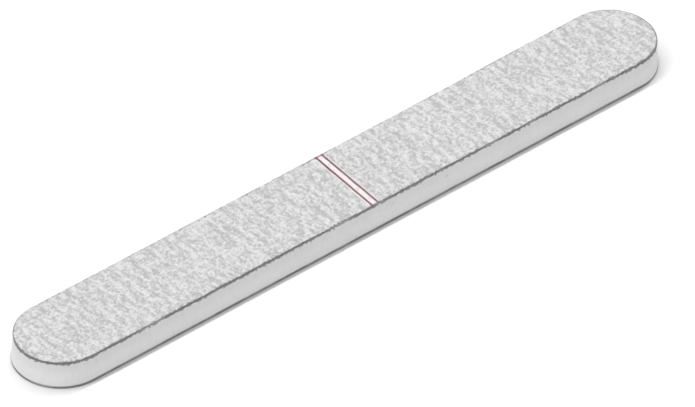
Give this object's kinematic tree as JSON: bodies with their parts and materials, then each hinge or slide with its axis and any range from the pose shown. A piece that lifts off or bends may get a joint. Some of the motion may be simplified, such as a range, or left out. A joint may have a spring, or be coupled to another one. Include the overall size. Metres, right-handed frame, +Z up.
{
  "type": "emery board",
  "caption": "Straight cushioned emery board with half-round ends: foam core, abrasive paper on both faces and a printed divider near the middle.",
  "frame": {"origin": "centre of the board's outline, on the lower face that it rests on", "axes": "+X along the board's length, towards the end nearer the printed divider; +Y across its width; +Z up through its thickness, towards the upper face, which has the divider"},
  "size_m": [0.179, 0.022, 0.007],
  "materials": {
    "foam": "matte",
    "grit": "matte",
    "backing_paper": "matte",
    "adhesive": "satin",
    "white_ink": "satin",
    "red_ink": "satin"
  },
  "bodies": {
    "root": {"lower_grit_coat": "grit", "lower_backing_paper": "backing_paper", "lower_adhesive_film": "adhesive", "foam_core": "foam", "upper_adhesive_film": "adhesive", "upper_backing_paper": "backing_paper", "upper_grit_coat": "grit", "divider_base": "white_ink", "divider_lines": "red_ink"}
  },
  "joints": []
}
